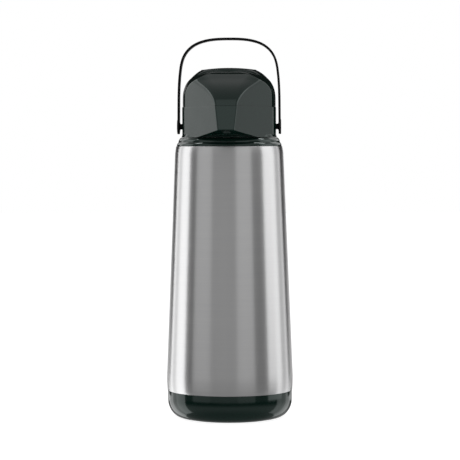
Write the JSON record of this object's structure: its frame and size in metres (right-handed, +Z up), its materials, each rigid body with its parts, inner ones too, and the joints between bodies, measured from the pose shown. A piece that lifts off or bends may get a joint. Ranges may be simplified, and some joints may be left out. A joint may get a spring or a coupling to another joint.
{
  "type": "airpot",
  "caption": "Slim tapered thermal coffee airpot with a brushed steel casing, a black pump head with a faceted beak, a push button on top and a swinging bail handle.",
  "frame": {"origin": "centre of the underside, on the vessel's own axis, on the surface it stands on", "axes": "+Z up along the vessel's axis, -Y towards the beak with the spout, +X to the vessel's left side as it faces -Y"},
  "size_m": [0.1262, 0.146, 0.3796],
  "materials": {
    "steel": "fine brushing round the body",
    "gloss_black": "polished green-black plastic",
    "button_black": "polished black plastic",
    "handle_black": "satin black plastic",
    "pivot_black": "satin black plastic",
    "black_plastic": "matt black plastic",
    "inner_plastic": "plain off-white moulding",
    "clear_plastic": "milky plastic",
    "bellows_plastic": "soft white plastic",
    "silicone": "grey silicone",
    "rubber": "matt black rubber",
    "silvered_glass": "glass silvered on its vacuum side",
    "spacer_pad": "pressed fibre",
    "bright_steel": "bright wire and screws"
  },
  "bodies": {
    "vessel": {"outer_casing": "steel", "base_cup": "gloss_black", "foot_ring": "rubber", "base_cap": "black_plastic", "base_cushion": "rubber", "flask_outer": "silvered_glass", "flask_inner": "silvered_glass", "flask_spacers": "spacer_pad", "collar_ring": "gloss_black", "neck_gasket": "silicone"},
    "coupling": {"coupling_ring": "inner_plastic"},
    "pump_head": {"head_body": "gloss_black", "head_cover": "gloss_black", "beak_plate": "gloss_black", "head_base": "inner_plastic", "stopper": "inner_plastic", "stopper_seal": "silicone", "air_valve": "silicone", "pump_base": "inner_plastic", "head_screws": "bright_steel", "dip_tube": "clear_plastic", "tube_grommet": "silicone", "ball_chamber": "clear_plastic", "spout_channel": "clear_plastic", "spout_nozzle": "black_plastic", "bellows": "bellows_plastic", "return_spring": "bright_steel", "pivot_pin_left": "pivot_black", "pivot_pin_right": "pivot_black"},
    "ball": {"safety_ball": "bright_steel"},
    "button": {"push_button": "button_black", "plunger": "inner_plastic", "inlet_flap": "silicone"},
    "lock": {"lock_slider": "black_plastic"},
    "bail": {"handle": "handle_black"}
  },
  "joints": [
    {"name": "head_turn", "type": "hinge", "parent": "vessel", "child": "coupling", "pos_m": [0, 0, 0.274], "axis": [0, 0, 1], "range_deg": [0, 60]},
    {"name": "head_lift", "type": "slide", "parent": "coupling", "child": "pump_head", "axis": [0, 0, 1], "range_m": [0, 0.26]},
    {"name": "button_press", "type": "slide", "parent": "pump_head", "child": "button", "axis": [0, 0, 1], "range_m": [-0.018, 0], "stiffness_N_per_m": 160, "springref_m": 0.02, "deforming": ["bellows", "return_spring"]},
    {"name": "lock_slide", "type": "slide", "parent": "pump_head", "child": "lock", "axis": [0, -1, 0], "range_m": [0, 0.005]},
    {"name": "bail_swing", "type": "hinge", "parent": "pump_head", "child": "bail", "pos_m": [0, 0, 0.291], "axis": [1, 0, 0], "range_deg": [-90, 90]},
    {"name": "ball_float", "type": "slide", "parent": "pump_head", "child": "ball", "axis": [0, 0, 1], "range_m": [0, 0.004]}
  ]
}
